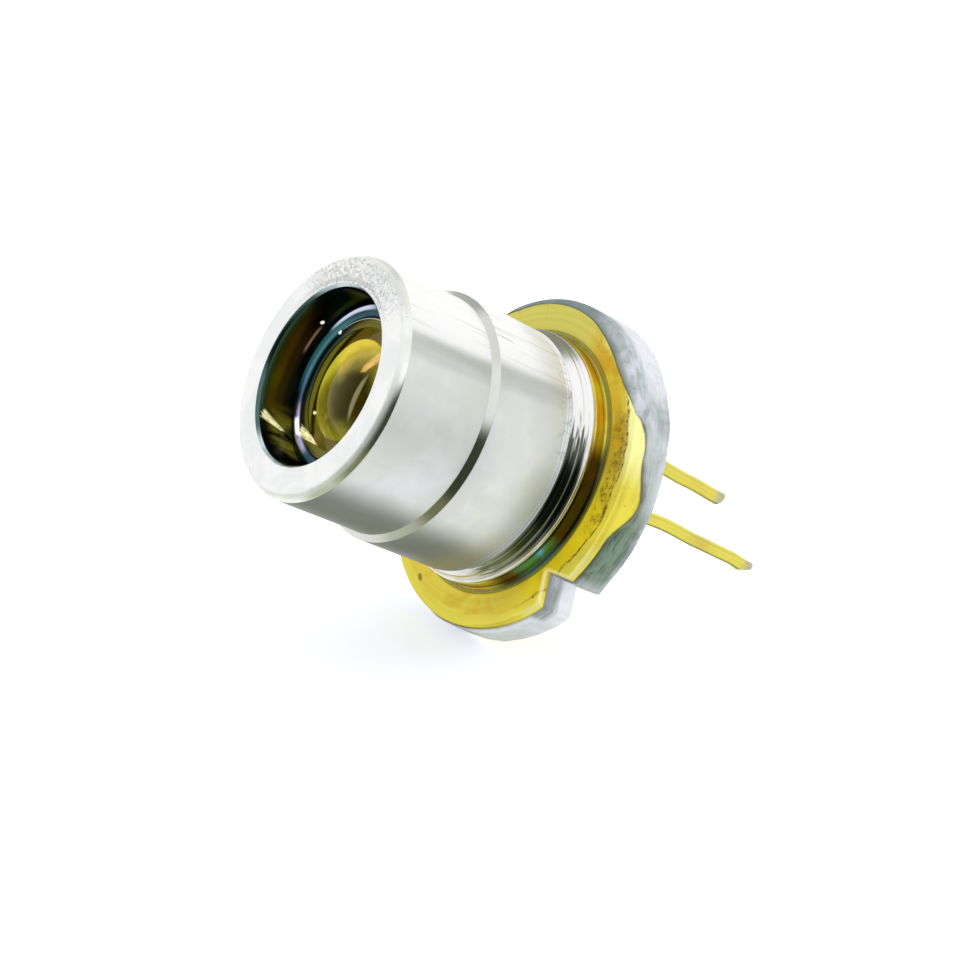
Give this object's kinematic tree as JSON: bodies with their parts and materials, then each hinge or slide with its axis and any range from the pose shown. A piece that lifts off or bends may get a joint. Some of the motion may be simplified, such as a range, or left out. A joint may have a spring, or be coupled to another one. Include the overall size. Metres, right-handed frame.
{
  "type": "laser diode",
  "caption": "Laser diode in a round metal can: notched gold-plated stem, long stepped steel barrel, recessed collimating lens and wire leads at the back.",
  "frame": {"origin": "centre of the stem's flat back face, where the diode seats on its heat sink or board", "axes": "+Z along the optical axis in the direction of the emitted beam; the stem's V notch points along -Y and the two leads stand side by side along X, on the +Y side"},
  "size_m": [0.0092, 0.0092, 0.0181],
  "materials": {
    "gold_plate": "gold plating, semi-bright, a little scuffed",
    "turned_steel": "finely turned nickel-coloured steel",
    "lens_glass": "polished moulded glass with a faint coating",
    "frit_glass": "fired solder glass, brownish, satin",
    "solder": "dull blue-grey solder residue, uneven",
    "seal_glass": "dark fused glass",
    "ceramic": "pale fired ceramic, matt",
    "crystal": "dark cleaved crystal, glossy"
  },
  "bodies": {
    "root": {"stem": "gold_plate", "lens_barrel": "turned_steel", "collimating_lens": "lens_glass", "lens_frit": "frit_glass", "solder_collar": "solder", "lead_short": "gold_plate", "lead_long": "gold_plate", "glass_seal_short": "seal_glass", "glass_seal_long": "seal_glass", "heat_sink": "gold_plate", "submount": "ceramic", "laser_chip": "crystal", "bond_wire_chip_1": "gold_plate", "bond_wire_chip_2": "gold_plate", "bond_wire_pad_1": "gold_plate", "bond_wire_pad_2": "gold_plate"}
  },
  "joints": []
}
